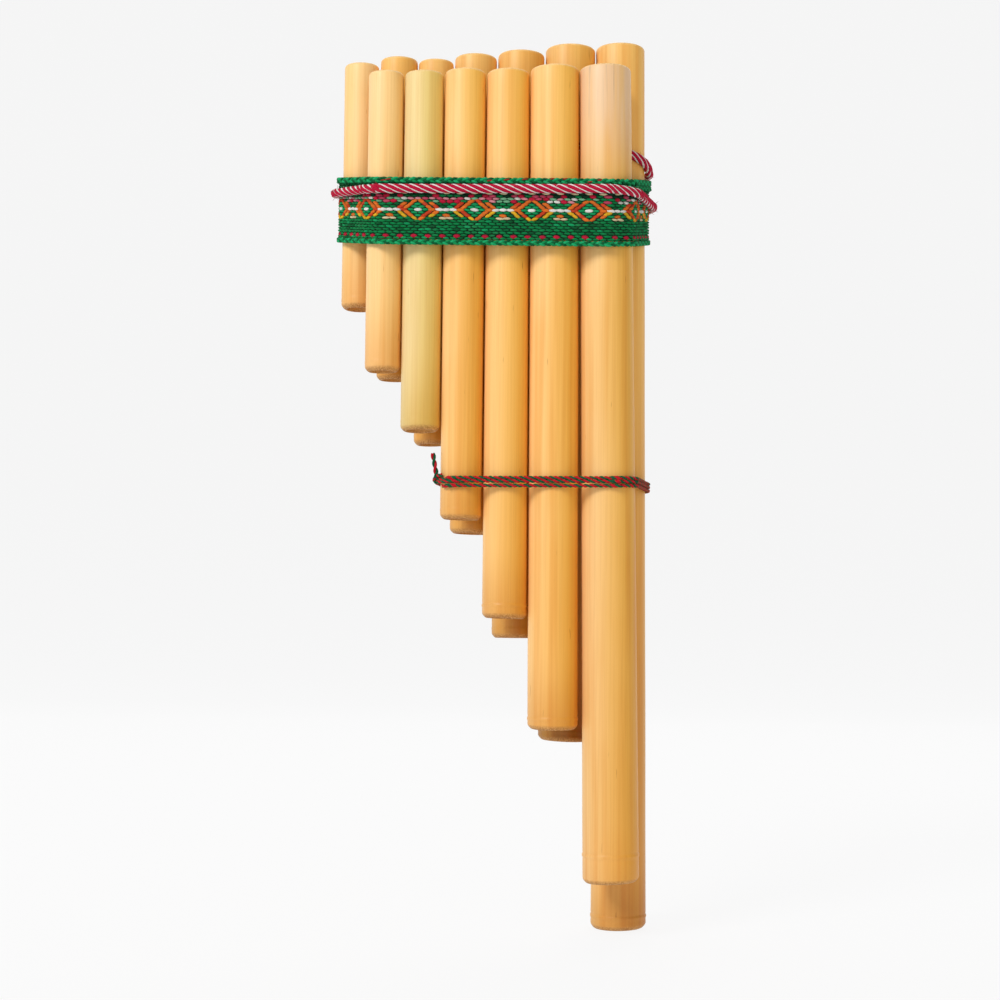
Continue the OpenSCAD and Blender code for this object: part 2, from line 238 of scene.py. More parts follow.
# Centre line, radii and length of a pipe, from its bore and its box
def pipeFacts(name):
    bore = bores[name.replace("pipe", "bore")]
    axis = Vector(bore["axis"])
    depth = bore["dims"]["length_mm"] * mm
    boreRadius = bore["dims"]["r_mm"] * mm
    mouth = Vector(bore["pos_m"]) + axis * depth / 2
    low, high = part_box(name)
    footRadius = (high[1] - low[1]) / 2 - cane["nodeRing"]
    length = (mouth.z - low[2]) / axis.z
    length -= abs(axis.x) * (footRadius - cane["footTrim"])
    return {
        "axis": axis, "mouth": mouth, "foot": mouth - axis * length, "length": length,
        "depth": depth, "bore": boreRadius, "mouthRadius": boreRadius + cane["wall"],
        "footRadius": footRadius,
    }


pipes = {name: pipeFacts(name) for name in pipeLooks}


def caneFinish(name, facts, tint, orange, seed, paintedSideShare, footDarkening):
    finish = Finish(name, Roughness=0.42, Coat_Weight=0.06, Coat_Roughness=0.3, Specular_IOR_Level=0.3)
    foot = facts["foot"]
    # Long bands, fine fibres, short flecks and slow clouds, all stretched along the cane
    bands = finish.grain(finish.place(foot, (1, 1, 0.02)), 330, 2, 0.55, seed)
    fibres = finish.grain(finish.place(foot, (1, 1, 0.012)), 1900, 3, 0.6, seed + 3)
    clouds = finish.grain(finish.place(foot, (1, 1, 0.35)), 55, 2, 0.5, seed + 5)
    flecks = finish.grain(finish.place(foot, (1, 1, 0.09)), 1300, 1, 0.5, seed + 7)
    ground = cane[tint]
    deep = tuple(c * f for c, f in zip(ground, (0.88, 0.68, 0.42))) + (1,)
    light = tuple(min(1, c * f) for c, f in zip(ground, (1.05, 1.12, 1.35))) + (1,)
    dark = tuple(c * f for c, f in zip(ground, (0.72, 0.55, 0.34))) + (1,)
    colour = finish.blend(bands.over(0.42, 0.66) * orange, ground, deep)
    colour = finish.blend(clouds.over(0.45, 0.75) * 0.55, colour, light)
    colour = finish.blend((1 - fibres.over(0.3, 0.6)) * 0.2, colour, dark)
    colour = finish.blend((1 - flecks.over(0.2, 0.27)) * 0.55, colour, tone(168, 108, 48))
    # Painted light on the left side, painted shade on the right side, and painted shade down towards
    # the foot
    top, bottom = facts["mouth"].z, foot.z
    point = finish.node("ShaderNodeSeparateXYZ", {}, {0: finish.place()})
    height = Wire(finish, point.socket.node.outputs[2])
    lean = facts["axis"].x / facts["axis"].z
    across = (point - (height - top) * lean - facts["mouth"].x) * (1 / facts["footRadius"])
    # Painted light and painted shade: paler on the cane's left side, deeper orange on its right
    paintedSideLight = finish.blend(across.over(-0.95, 0.85), cane["paintedLitSide"], cane["paintedShadedSide"])
    colour = finish.blend(paintedSideShare, colour, finish.blend(1.0, colour, paintedSideLight, "MULTIPLY"))
    # Painted shade: darker down towards the foot and towards the right side
    lowShadeShare = (1 - height.over(bottom - 40 * mm, top - 20 * mm)) * across.over(-1.6, 0.6)
    paintedLowShade = cane["paintedLongPipeShade" if facts is pipes["back_pipe_7"] else "paintedLowShade"]
    colour = finish.blend(lowShadeShare, colour, finish.blend(1.0, colour, paintedLowShade, "MULTIPLY"))
    # Darker over the last footFade up from the foot; on back_pipe_6 this is a painted shadow of the
    # front pipes
    colour = finish.blend(
        1 - height.over(bottom, bottom + cane["footFade"]), colour,
        finish.blend(1.0, colour, footDarkening + (1,), "MULTIPLY"))
    if tint == "stained":
        shade = height.over(top - 46 * mm, top - 8 * mm)
        wash = finish.grain(finish.place(foot, (1, 1, 0.05)), 260, 3, 0.6, 40.0)
        colour = finish.blend(shade * (0.35 + wash.over(0.3, 0.6) * 0.45), colour, tone(232, 198, 162))
        ink = finish.grain(finish.place(foot, (1, 1, 0.03)), 620, 3, 0.6, 44.0)
        mark = height.over(top - 22 * mm, top - 4 * mm) * (1 - ink.over(0.28, 0.44))
        colour = finish.blend(mark * 0.75, colour, tone(132, 112, 104))
    # Cut faces: pale end grain at the mouth, browned end grain at the foot
    dots = finish.grain(finish.place(foot), 2600, 1, 0.5, seed + 9)
    rim = finish.node("ShaderNodeAttribute", {"attribute_name": "rim"}, {}, 2)
    rimTone = finish.blend(dots.over(0.35, 0.6), tone(228, 184, 118), tone(252, 222, 164))
    colour = finish.blend(rim, colour, rimTone)
    cut = finish.node("ShaderNodeAttribute", {"attribute_name": "cut"}, {}, 2)
    cutTone = finish.blend(dots.over(0.4, 0.62), tone(150, 98, 48), tone(206, 156, 92))
    colour = finish.blend(cut, colour, cutTone)
    # Painted shade: the bore and the hollow under the closing node are coloured darker
    hollow = finish.node("ShaderNodeAttribute", {"attribute_name": "hollow"}, {}, 2)
    colour = finish.blend(hollow * 0.75, colour, tone(196, 142, 78))
    finish.feed("Base Color", colour)
    finish.feed("Roughness", 0.34 + bands * 0.14 + fibres * 0.08 + (rim + cut + hollow) * 0.25)
    finish.bump(bands * 0.6 + fibres * 0.5 + (rim + cut) * dots, 0.12 * mm, 0.5)
    return finish.material


def makePipe(name):
    facts = pipes[name]
    tint, orange, nodeHeight, nodeShare, tilt, seed, paintedSideShare, footDarkening = pipeLooks[name]
    length, mouthR, footR = facts["length"], facts["mouthRadius"], facts["footRadius"]
    rise, trim, inner = cane["recess"], cane["footTrim"], facts["bore"]
    septumTop = length - facts["depth"]
    # Radius, height, mouth rim, foot cut and hollow, from under the closing node to inside it
    profile = [
        (0, rise * 0.75, 0, 0.3, 1), (inner * 0.6, rise * 0.82, 0, 0.3, 1),
        (inner * 0.92, rise, 0, 0.4, 1), (inner, rise * 0.9, 0, 0.6, 1),
        (inner, 0.25 * mm, 0, 1, 0.5), (inner + 0.2 * mm, 0, 0, 1, 0),
        (footR - trim, 0, 0, 1, 0), (footR - 0.75 * trim, 0.14 * trim, 0, 0.9, 0),
        (footR - 0.4 * trim, 0.5 * trim, 0, 0.75, 0), (footR - 0.12 * trim, 0.9 * trim, 0, 0.45, 0),
        (footR, 1.25 * trim, 0, 0.05, 0),
    ]
    ringShape = [(-2, 0), (-1.1, -0.25), (-0.5, 0.8), (0, 1), (0.5, 0.1), (0.9, -0.5), (1.5, 0)]
    for offset, swell in ringShape:
        z = nodeHeight * mm + offset * cane["nodeStep"]
        if z > 1.4 * trim:
            profile.append((footR + swell * nodeShare * cane["nodeRing"] * 0.8, z, 0, 0, 0))
    rounding = cane["mouthRound"]
    start, end = profile[-1][1] + 1.5 * mm, length - rounding * 1.25
    for k in range(cane["rings"]):
        share = k / (cane["rings"] - 1)
        z = start + (end - start) * share
        profile.append((footR + (mouthR - footR) * z / length, z, 0, 0, 0))
    profile += [
        (mouthR - 0.06 * rounding, length - 0.8 * rounding, 0.15, 0, 0),
        (mouthR - 0.22 * rounding, length - 0.42 * rounding, 0.6, 0, 0),
        (mouthR - 0.52 * rounding, length - 0.14 * rounding, 0.95, 0, 0),
        (mouthR - rounding, length, 1, 0, 0),
        (inner + 0.3 * mm, length, 1, 0, 0.1),
        (inner + 0.08 * mm, length - 0.1 * mm, 1, 0, 0.4),
        (inner, length - 0.4 * mm, 0.4, 0, 1),
        (inner, length - 6 * mm, 0, 0, 1),
        (inner, septumTop + 1.2 * mm, 0, 0, 1),
        (inner * 0.85, septumTop + 0.2 * mm, 0, 0, 1),
        (0, septumTop, 0, 0, 1),
    ]
    bm = bmesh.new()
    layers = [bm.verts.layers.float.new(n) for n in ("rim", "cut", "hollow")]
    line = []
    for radius, z, *marks in profile:
        vert = bm.verts.new((radius, 0, z))
        for layer, mark in zip(layers, marks):
            vert[layer] = mark
        line.append(vert)
    edges = [bm.edges.new(pair) for pair in zip(line, line[1:])]
    bmesh.ops.spin(
        bm, geom=line + edges, cent=(0, 0, 0), axis=(0, 0, 1), angle=math.tau,
        steps=cane["segments"], use_merge=True,
    )
    bmesh.ops.remove_doubles(bm, verts=bm.verts, dist=1e-6)
    bmesh.ops.recalc_face_normals(bm, faces=bm.faces)
    # The cane is never quite round or straight, and its foot is cut a little askew
    for vert in bm.verts:
        x, y, z = vert.co
        radius = math.hypot(x, y)
        if radius > inner + 0.1 * mm:
            bulge = noise.noise(Vector((x * 90, y * 90, z * 22 + seed * 7)))
            ripple = noise.noise(Vector((x * 260, y * 260, z * 60 + seed * 3)))
            vert.co.xy *= 1 + (bulge * 0.7 + ripple * 0.3 - 0.35) * cane["wobble"] / radius
        low = max(0, 1 - z / cane["skewOver"])
        skew = tilt * (x * math.cos(seed) + y * math.sin(seed)) + abs(tilt) * footR
        vert.co.z += low * skew * 2
    turn = Vector((0, 0, 1)).rotation_difference(facts["axis"]).to_matrix().to_4x4()
    bmesh.ops.transform(bm, matrix=Matrix.Translation(facts["foot"]) @ turn, verts=bm.verts)
    material = caneFinish(name + "_cane", facts, tint, orange, seed, paintedSideShare, footDarkening)
    addPiece(
        name.replace("_pipe", "Pipe"), smoothMesh(name, bm), [material],
        [name],
    )


for name in pipes:
    makePipe(name)
print("pipes made")

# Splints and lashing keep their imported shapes


def splintFinish():
    finish = Finish("splitCane", Roughness=0.6)
    fibres = finish.grain(finish.place((0, 0, 0), (0.03, 1, 1)), 1500, 3, 0.6, 1.0)
    bands = finish.grain(finish.place((0, 0, 0), (0.08, 1, 1)), 420, 2, 0.5, 2.0)
    colour = finish.blend(fibres.over(0.3, 0.7), tone(176, 122, 62), tone(226, 178, 108))
    colour = finish.blend(bands.over(0.5, 0.7) * 0.5, colour, tone(148, 96, 44))
    finish.feed("Base Color", colour)
    finish.feed("Roughness", 0.5 + fibres * 0.2)
    finish.bump(fibres + bands, 0.15 * mm, 0.6)
    return finish.material


def threadFinish():
    finish = Finish("lashingThread", Roughness=0.7)
    ply = finish.node(
        "ShaderNodeTexWave", {"wave_type": "BANDS", "bands_direction": "DIAGONAL"},
        {"Vector": finish.place(), "Scale": 500, "Distortion": 1.5, "Detail": 1},
    )
    fuzz = finish.grain(finish.place(), 4000, 2, 0.6, 1.0)
    worked = ply * 0.7 + fuzz * 0.3
    finish.feed("Base Color", finish.blend(worked, tone(150, 132, 98), tone(226, 212, 178)))
    finish.feed("Roughness", 0.6 + fuzz * 0.3)
    finish.bump(ply + fuzz * 0.5, 0.08 * mm, 0.7)
    return finish.material


splitCane, lashingThread = splintFinish(), threadFinish()
for name, node in nodes.items():
    if "splint" in name or "lashing" in name:
        node.data.materials.clear()
        node.data.materials.append(splitCane if "splint" in name else lashingThread)

# What is tied round the pipes: a loop is wrapped round discs that stand for them

tie = {
    "seat": 0.15 * mm,
    "edge": 0.75 * mm,  # half of a splint with its thread
    "bandZ": 235.4 * mm,
    "slope": 0.23,  # the band rises towards the back
    "middleY": 0.043 * mm,
}


def disc(facts, z):
    share = (facts["mouth"].z - z) / (facts["mouth"].z - facts["foot"].z)
    centre = facts["mouth"].lerp(facts["foot"], share)
    radius = facts["mouthRadius"] + (facts["footRadius"] - facts["mouthRadius"]) * share
    return (centre.x, centre.y, radius)


def wrapPoint(discs, angle, off):
    out = Vector((math.cos(angle), math.sin(angle)))
    x, y, radius = max(discs, key=lambda d: d[0] * out.x + d[1] * out.y + d[2])
    return Vector((x, y)) + out * (radius + off)


# Farthest points in turn from one angle to another, in degrees, with their angles
class Wrap:
    def __init__(self, discs, off, start, end, step=1.0):
        count = int(round((end - start) / step)) + 1
        self.angles = [math.radians(start + k * step) for k in range(count)]
        self.points = [wrapPoint(discs, a, off) for a in self.angles]
        self.lengths = [0.0]
        for a, b in zip(self.points, self.points[1:]):
            self.lengths.append(self.lengths[-1] + (b - a).length)
        self.length = self.lengths[-1]
        self.cursor = 0

    # Point and outward direction at a distance along the loop
    def at(self, s):
        lengths = self.lengths
        s = min(max(s, 0), self.length)
        k = self.cursor if lengths[self.cursor] <= s else 0
        while k < len(lengths) - 2 and lengths[k + 1] < s:
            k += 1
        self.cursor = k
        share = (s - lengths[k]) / max(1e-12, lengths[k + 1] - lengths[k])
        angle = self.angles[k] + (self.angles[k + 1] - self.angles[k]) * share
        out = Vector((math.cos(angle), math.sin(angle)))
        return self.points[k].lerp(self.points[k + 1], share), out


tiedDiscs = [disc(f, tie["bandZ"]) for f in pipes.values()]
for name, facts in pipes.items():
    x, y, radius = disc(facts, tie["bandZ"])
    side = -1 if name.startswith("front") else 1
    tiedDiscs.append((x, y + side * (radius + 2 * tie["seat"] + tie["edge"]), tie["edge"]))

# The band's own loop starts and ends in the middle of the back
bandLoop = Wrap(tiedDiscs, tie["seat"], 90, 450)


def bandHeight(y):
    return tie["bandZ"] + tie["slope"] * (y + tie["middleY"])


# From flat cloth, as distance along, height and thickness, to its place round the pipes
def wrapFlat(flat):
    along = flat[0] % bandLoop.length
    point, out = bandLoop.at(along)
    place = point + out * flat[2]
    return Vector((place.x, place.y, bandHeight(place.y) + flat[1]))


# Distance along the loop where its front passes a place across the flute
def alongFront(x):
    found = [s for s, p in zip(bandLoop.lengths, bandLoop.points) if p.y < -5 * mm and p.x <= x]
    best = max(found)
    return best + (x - bandLoop.at(best)[0].x)


def woolFinish(name, shade, plies, attribute=""):
    finish = Finish(
        name, Roughness=0.7, Sheen_Weight=0.02, Sheen_Roughness=0.5, Specular_IOR_Level=0.12)
    uv = finish.node("ShaderNodeUVMap")
    twist = finish.node(
        "ShaderNodeTexWave", {"wave_type": "BANDS", "bands_direction": "DIAGONAL"},
        {"Vector": finish.node("ShaderNodeMapping", {}, {"Vector": uv, "Scale": plies}),
         "Scale": 1.0, "Distortion": 0.8, "Detail": 1},
    )
    hairs = finish.grain(finish.place(), 5200, 3, 0.65, 2.0)
    worn = finish.grain(finish.place(), 240, 2, 0.5, 6.0)
    colour = shade
    if attribute:
        colour = finish.node("ShaderNodeAttribute", {"attribute_name": attribute}, {}, 0)
    dark = finish.blend(1.0, colour, (0.45, 0.45, 0.45, 1), "MULTIPLY")
    light = finish.blend(0.09, colour, (1, 1, 1, 1))
    mixed = finish.blend(twist * 0.45 + hairs * 0.55, dark, colour)
    mixed = finish.blend(hairs.over(0.55, 0.8) * 0.35 + worn.over(0.5, 0.8) * 0.15, mixed, light)
    finish.feed("Base Color", mixed)
    finish.feed("Roughness", 0.7 + hairs * 0.25)
    finish.bump(twist * 0.6 + hairs * 0.5, 0.12 * mm, 0.7)
    return finish.material


# Woven band

band = {
    "height": 18.4 * mm,
    "cloth": 0.55 * mm,
    "pitch": 2.29 * mm,  # from float to float along the band
    "rows": 20,
    "float": (1.12 * mm, 0.45 * mm, 0.55 * mm),  # half sizes along, up and out
    "stand": 0.85 * mm,
    "hemDrop": 0.35 * mm,  # how much lower the crimson row by the bottom edging lies
    "diamond": 18.32 * mm,
    "diamondAt": -6.0 * mm,  # across the flute, where one diamond's centre lies
    "halfLong": 7.4 * mm,
    "halfRows": 3.9,
    "centreRow": 9,
    "green": (4, 142, 76), "bright": (14, 172, 102), "deep": (1, 104, 54),
    "white": (246, 246, 236), "cream": (240, 222, 176), "orange": (238, 120, 40),
    "ember": (222, 74, 36), "yellow": (246, 190, 40), "crimson": (206, 26, 62),
    "pink": (214, 78, 108), "rose": (232, 150, 160), "mint": (128, 196, 150),
    # "shade" is not a dye of its own: it is painted shadow under the cord
    "shade": (10, 62, 38), "pearl": (255, 253, 246),
}
lift = (1.8 * mm - 2.4 * mm) / 2  # the weave's middle, between unequal edgings
rowPitch = band["height"] / band["rows"]
diamondStart = alongFront(band["diamondAt"])
firstFloat = (diamondStart - 0.5 * band["pitch"]) % band["pitch"]  # so that diamonds centre on a float


# Which dye a float shows, from its distance along the band and its row from the top
def dyeAt(along, row, chance):
    diamond = band["diamond"]
    across = (along - diamondStart + diamond / 2) % diamond - diamond / 2
    rows = row - band["centreRow"]
    reach = abs(across) / band["halfLong"] + abs(rows) / band["halfRows"]
    gap = diamond / 2 - abs(across)  # from the middle between two diamonds
    odd = int((along - firstFloat) / band["pitch"] + 0.25) % 2
    if row <= 2:
        return "deep"
    # Rows 3 and 4 lie just under the cord; their "shade" floats are painted shadow
    if row == 3:
        return "cream" if odd and chance < 0.85 else "shade"
    if abs(across) < 1.2 * mm and rows == 0:
        return "pearl"
    if reach < 0.54:
        return "bright"
    if reach < 1.14 and abs(rows) <= 3:
        if rows >= 1 and reach > 0.86:
            return "yellow" if chance < 0.75 else "orange"
        if rows >= 2:
            return "ember" if chance < 0.7 else "orange"
        if rows == 0 and abs(across) > 6.2 * mm:
            return "pearl"
        return "orange" if chance < 0.68 else "ember"
    if rows == 0 and gap < 3.1 * mm:
        return "pearl"
    if row == 4:
        return ("shade", "shade", "deep", "green", "crimson", "pink")[int(chance * 5.999)]
    if row == 5 or (row == 6 and gap < 3.6 * mm):
        picks = ["pink", "rose", "crimson", "mint", "white", "mint", "green", "rose"]
        return picks[int(chance * 7.999)]
    if rows == 2 and gap < 1.2 * mm:
        return "orange"
    if rows == 3 and 1.1 * mm < gap < 3.4 * mm:
        return "cream"
    if row == 18:
        return "crimson" if odd else "green"
    if chance > 0.9:
        return "bright"
    return "green" if chance < 0.75 else "deep"


# Floats on a diamond's outline lie along it, in degrees
def leanAt(along, row):
    across = (along - diamondStart + band["diamond"] / 2) % band["diamond"] - band["diamond"] / 2
    rows = band["centreRow"] - row
    reach = abs(across) / band["halfLong"] + abs(rows) / band["halfRows"]
    if rows == 0 or abs(rows) > 3 or not 0.5 < reach < 1.15 or abs(across) < 1 * mm:
        return 0
    return -27 if across * rows > 0 else 27


# How much longer and taller than plain floats these are
bold = {
    "crimson": (0.98, 1.5), "orange": (1.16, 1.3), "ember": (1.16, 1.3), "yellow": (1.16, 1.25),
    "pearl": (1.2, 1.3), "white": (1.0, 1.15), "cream": (1.15, 1.0), "pink": (1.0, 1.15),
}


def makeCloth():
    bm = bmesh.new()
    steps = 300
    bmesh.ops.create_grid(bm, x_segments=steps, y_segments=8, size=0.5, calc_uvs=True)
    uv = bm.loops.layers.uv.verify()
    for face in bm.faces:
        for loop in face.loops:
            loop[uv].uv = ((loop.vert.co.x + 0.5) * 111, (loop.vert.co.y + 0.5) * band["rows"])
    for vert in bm.verts:
        share, height = vert.co.x + 0.5, vert.co.y
        vert.co = wrapFlat((
            min(share, 0.99999) * bandLoop.length, lift + height * band["height"], 0.05 * mm))
    bmesh.ops.remove_doubles(bm, verts=bm.verts, dist=0.02 * mm)
    bmesh.ops.recalc_face_normals(bm, faces=bm.faces)
    outer = sum(f.normal.xy.dot(f.calc_center_median().xy) for f in bm.faces)
    if outer < 0:
        bmesh.ops.reverse_faces(bm, faces=bm.faces)
    bmesh.ops.solidify(bm, geom=bm.faces[:], thickness=-band["cloth"])
    bmesh.ops.recalc_face_normals(bm, faces=bm.faces)
    # The cloth is coloured dark: painted shade in the gaps between the floats
    finish = Finish("bandCloth", Roughness=0.9)
    weave = finish.node(
        "ShaderNodeTexBrick", {"offset": 0.5},
        {"Vector": finish.node("ShaderNodeUVMap"), "Scale": 1.0, "Brick Width": 1.0,
         "Row Height": 1.0, "Mortar Size": 0.12, "Mortar Smooth": 0.6,
         "Color1": tone(3, 62, 32), "Color2": tone(5, 74, 38), "Mortar": tone(1, 26, 14)},
    )
    hairs = finish.grain(finish.place(), 5000, 2, 0.6, 3.0)
    finish.feed("Base Color", weave)
    finish.feed("Roughness", 0.8 + hairs * 0.2)
    finish.bump(hairs, 0.1 * mm, 0.6)
    return addPiece(
        "bandCloth", smoothMesh("bandCloth", bm), [finish.material], ["woven_band"])


def makeFloats():
    chances = random.Random(11)
    bm = bmesh.new()
    bm.loops.layers.uv.verify()
    bmesh.ops.create_uvsphere(bm, u_segments=8, v_segments=6, radius=1.0, calc_uvs=True)
    # The poles lie at the float's two ends
    bmesh.ops.rotate(bm, verts=bm.verts, cent=(0, 0, 0), matrix=Matrix.Rotation(math.pi / 2, 3, "Y"))
    dye = bm.loops.layers.float_color.new("dye")
    grain = bpy.data.meshes.new("grain")
    bm.to_mesh(grain)
    bm.clear()
    columns = int(bandLoop.length / band["pitch"])
    long, tall, deep = band["float"]
    for row in range(band["rows"]):
        height = lift + band["height"] / 2 - (row + 0.5) * rowPitch
        for column in range(columns):
            along = firstFloat + (column + 0.5 * (row % 2)) * band["pitch"]
            first = len(bm.verts)
            firstFace = len(bm.faces)
            bm.from_mesh(grain)
            bm.verts.ensure_lookup_table()
            bm.faces.ensure_lookup_table()
            chance = chances.random()
            name = dyeAt(along, row, chance)
            level = chances.uniform(0.86, 1.12)
            shade = tuple(c * level for c in tone(*band[name])[:3]) + (1,)
            for face in bm.faces[firstFace:]:
                for loop in face.loops:
                    loop[dye] = shade
            size = chances.uniform(0.94, 1.08)
            lean = math.radians(chances.uniform(-9, 3) + leanAt(along, row))
            sway = Matrix.Rotation(lean, 3, "Z")
            longer, taller = bold.get(name, (1, 1))
            drop = band["hemDrop"] if name == "crimson" and row > 12 else 0
            jitter = Vector([chances.uniform(-reach, reach) for reach in (0.1, 0.06, 0.05)]) * mm
            for vert in bm.verts[first:]:
                x, y, z = vert.co
                flat = sway @ Vector((x * long * longer * size, y * tall * taller * size, z * deep))
                flat += Vector((along, height - drop, band["stand"])) + jitter
                vert.co = wrapFlat(flat)
    bpy.data.meshes.remove(grain)
    material = woolFinish("bandYarn", None, (9, 5, 1), "dye")
    return addPiece("bandFloats", smoothMesh("bandFloats", bm), [material])


# Strands of yarn: each is a list of points, its radius or radii, and which material it has
def makeStrands(name, strands, materials, replaced=(), closed=False):
    curve = bpy.data.curves.new(name, "CURVE")
    curve.dimensions = "3D"
    curve.bevel_depth = 1 * mm
    curve.bevel_resolution = 1
    curve.use_fill_caps = not closed
    for material in materials:
        curve.materials.append(material)
    for points, radii, kind in strands:
        spline = curve.splines.new("POLY")
        spline.points.add(len(points) - 1)
        for k, (point, here) in enumerate(zip(points, spline.points)):
            here.co = (*point, 1)
            here.radius = (radii[k] if isinstance(radii, list) else radii) / mm
        spline.use_cyclic_u = closed
        spline.material_index = kind
    holder = bpy.data.objects.new(name + "Line", curve)
    mesh = bpy.data.meshes.new_from_object(holder)
    kinds = [p.material_index for p in mesh.polygons]
    bpy.data.objects.remove(holder)
    piece = addPiece(name, mesh, materials, replaced)
    for polygon, kind in zip(mesh.polygons, kinds):
        polygon.material_index = kind
        polygon.use_smooth = True
    return piece


# Edgings: three-strand braids along the band's edges

edgings = {
    "wave": 5.7 * mm,
    "topStrand": 0.5 * mm, "topSpread": 0.62 * mm,
    "bottomStrand": 0.45 * mm, "bottomSpread": 0.5 * mm,
    "standOff": 1.25 * mm,
    # A second length of the top braid turns the right corner under the first
    "doubledAt": 36 * mm, "doubled": 34 * mm, "doubledDrop": 1.9 * mm, "doubledOut": 0.3 * mm,
    "flecks": 9, "fleckRadius": (0.12 * mm, 0.24 * mm, 0.24 * mm, 0.12 * mm),
}


def braid(start, end, height, strand, spread, wave, out):
    closed = start is None
    if closed:
        start, end = 0, bandLoop.length
        wave = (end - start) / round((end - start) / wave)
    steps = int((end - start) / wave * 12)
    strands = []
    for k in range(3):
        points = []
        for i in range(steps + (0 if closed else 1)):
            s = start + (end - start) * i / steps
            turn = math.tau * ((s - start) / wave + k / 3)
            points.append(wrapFlat((
                s, height + spread * math.sin(turn), out + spread * 0.7 * math.sin(2 * turn))))
        strands.append((points, strand, k))
    return strands


def makeEdgings():
    wools = [
        woolFinish("edgingWool", tone(12, 156, 88), (700, 1, 1)),
        woolFinish("deepEdgingWool", tone(3, 104, 58), (700, 1, 1)),
        woolFinish("brightEdgingWool", tone(30, 186, 116), (700, 1, 1)),
        woolFinish("fleckWool", tone(196, 44, 40), (700, 1, 1)),
    ]
    half = band["height"] / 2
    topAt = lift + half + 0.8 * mm
    top = braid(
        None, None, topAt, edgings["topStrand"], edgings["topSpread"], edgings["wave"],
        edgings["standOff"])
    makeStrands("topBraid", top, wools, ["band_top_edging"], True)
    bottomAt = lift - half - 0.9 * mm
    bottom = braid(
        None, None, bottomAt, edgings["bottomStrand"], edgings["bottomSpread"],
        edgings["wave"] * 0.9, edgings["standOff"] * 0.85)
    makeStrands("bottomBraid", bottom, wools, ["band_bottom_edging"], True)
    corner = alongFront(edgings["doubledAt"])
    second = braid(
        corner, corner + edgings["doubled"], topAt - edgings["doubledDrop"],
        edgings["topStrand"] * 0.9, edgings["topSpread"] * 0.9, edgings["wave"] * 0.9,
        edgings["standOff"] + edgings["doubledOut"])
    # Short red ends of yarn are caught in the top braid
    chances = random.Random(5)
    flecks = []
    for _ in range(edgings["flecks"]):
        s = alongFront(chances.uniform(-36, 38) * mm)
        rise = chances.uniform(-0.4, 0.7) * mm
        points = [wrapFlat((
            s + (i - 1.5) * 0.6 * mm, topAt + rise + 0.1 * mm * i,
            edgings["standOff"] + (0.75 - 0.1 * (i - 1.5) ** 2) * mm)) for i in range(4)]
        flecks.append((points, list(edgings["fleckRadius"]), 3))
    makeStrands("braidEnds", second + flecks, wools)


cloth = makeCloth()
floats = makeFloats()
makeEdgings()
print("band made,", round(bandLoop.length / mm, 1), "mm round")

# Twisted cord: four crimson plies with a thin white yarn between each two

cord = {
    "radius": 1.6 * mm, "lay": 13.6 * mm,
    "ply": 0.6 * mm, "plySpread": 0.9 * mm, "white": 0.36 * mm, "whiteSpread": 1.17 * mm,
    "dip": 0.42,  # share of its spread by which a white yarn dips under the plies
    "rounds": 8,  # how much its stiffness rounds its corners
    "rise": 0.3 * mm,  # how far it is pushed up against the edging
    "press": 0.6 * mm,  # how far it is pulled into the weave
    "band": 1.5 * mm, "bandHalf": 11.3 * mm, "edging": 2.4 * mm,
    "frontZ": 237.28 * mm, "upperZ": 254.6 * mm,
    "leftSlope": 0.16, "rightSlope": 0.05,  # how the front run climbs towards the back
    "knotReach": 62 * mm, "knot": 8.4 * mm,
    "hitchTurns": 1.75, "hitchWidth": 4.4 * mm, "hitchHalf": 2.5 * mm,
    "hairs": 420, "hairCorner": 5 * mm,  # hairs tried, and how near the corners most grow
    "hairRadius": (0.07 * mm, 0.06 * mm, 0.045 * mm, 0.02 * mm),
}


